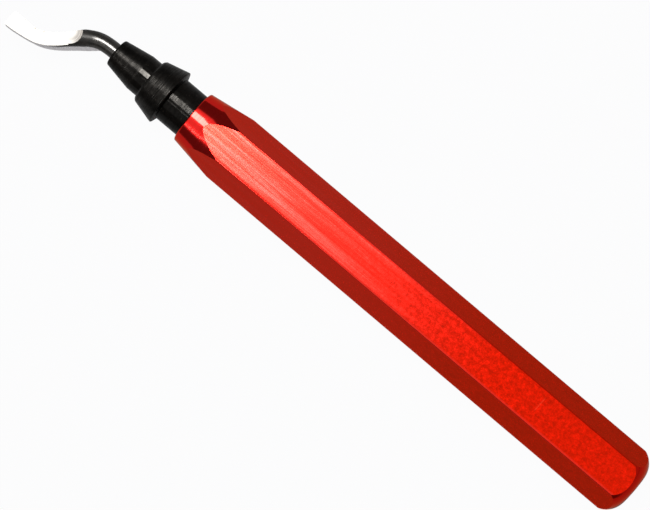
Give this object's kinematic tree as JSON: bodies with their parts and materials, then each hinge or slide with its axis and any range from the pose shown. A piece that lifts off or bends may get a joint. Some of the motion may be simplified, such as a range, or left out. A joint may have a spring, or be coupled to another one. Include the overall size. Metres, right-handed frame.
{
  "type": "deburring tool",
  "caption": "Pen-type swivel-blade deburring tool: hexagonal handle, spring-loaded quick-release chuck and S-shaped blade that turns freely in its socket.",
  "frame": {"origin": "centre of the flat butt face at the rear end of the handle", "axes": "+X along the tool axis from the butt to the blade, +Z out of the handle's top facet, +Y to the side the blade hooks towards at rest"},
  "size_m": [0.146, 0.0166, 0.012],
  "materials": {
    "anodised_handle": "red anodised, fine lengthwise brushing",
    "blackened_steel": "black oxide over turned steel",
    "blackened_sleeve": "black oxide over turned steel",
    "ring_steel": "black oxide",
    "spring_steel": "drawn spring wire",
    "ball_steel": "polished bearing steel",
    "blade_steel": "ground high-speed steel"
  },
  "bodies": {
    "handle": {"handle": "anodised_handle", "chuck_body": "blackened_steel", "retaining_ring": "ring_steel", "return_spring": "spring_steel"},
    "sleeve": {"release_sleeve": "blackened_sleeve"},
    "ball_upper": {"locking_ball_upper": "ball_steel"},
    "ball_lower": {"locking_ball_lower": "ball_steel"},
    "blade": {"blade": "blade_steel"}
  },
  "joints": [
    {"name": "sleeve_slide", "type": "slide", "parent": "handle", "child": "sleeve", "axis": [-1, 0, 0], "range_m": [0, 0.0026], "stiffness_N_per_m": 1500, "deforming": ["return_spring"]},
    {"name": "ball_upper_lift", "type": "slide", "parent": "handle", "child": "ball_upper", "axis": [0, 0, 1], "range_m": [0, 0.00052]},
    {"name": "ball_lower_lift", "type": "slide", "parent": "handle", "child": "ball_lower", "axis": [0, 0, -1], "range_m": [0, 0.00052]},
    {"name": "blade_swivel", "type": "hinge", "parent": "handle", "child": "blade", "pos_m": [0.1264, 0, 0], "axis": [1, 0, 0], "continuous": true}
  ],
  "couplings": [
    {"joint": "ball_upper_lift", "follows": "sleeve_slide", "ratio": 0.2},
    {"joint": "ball_lower_lift", "follows": "sleeve_slide", "ratio": 0.2}
  ]
}
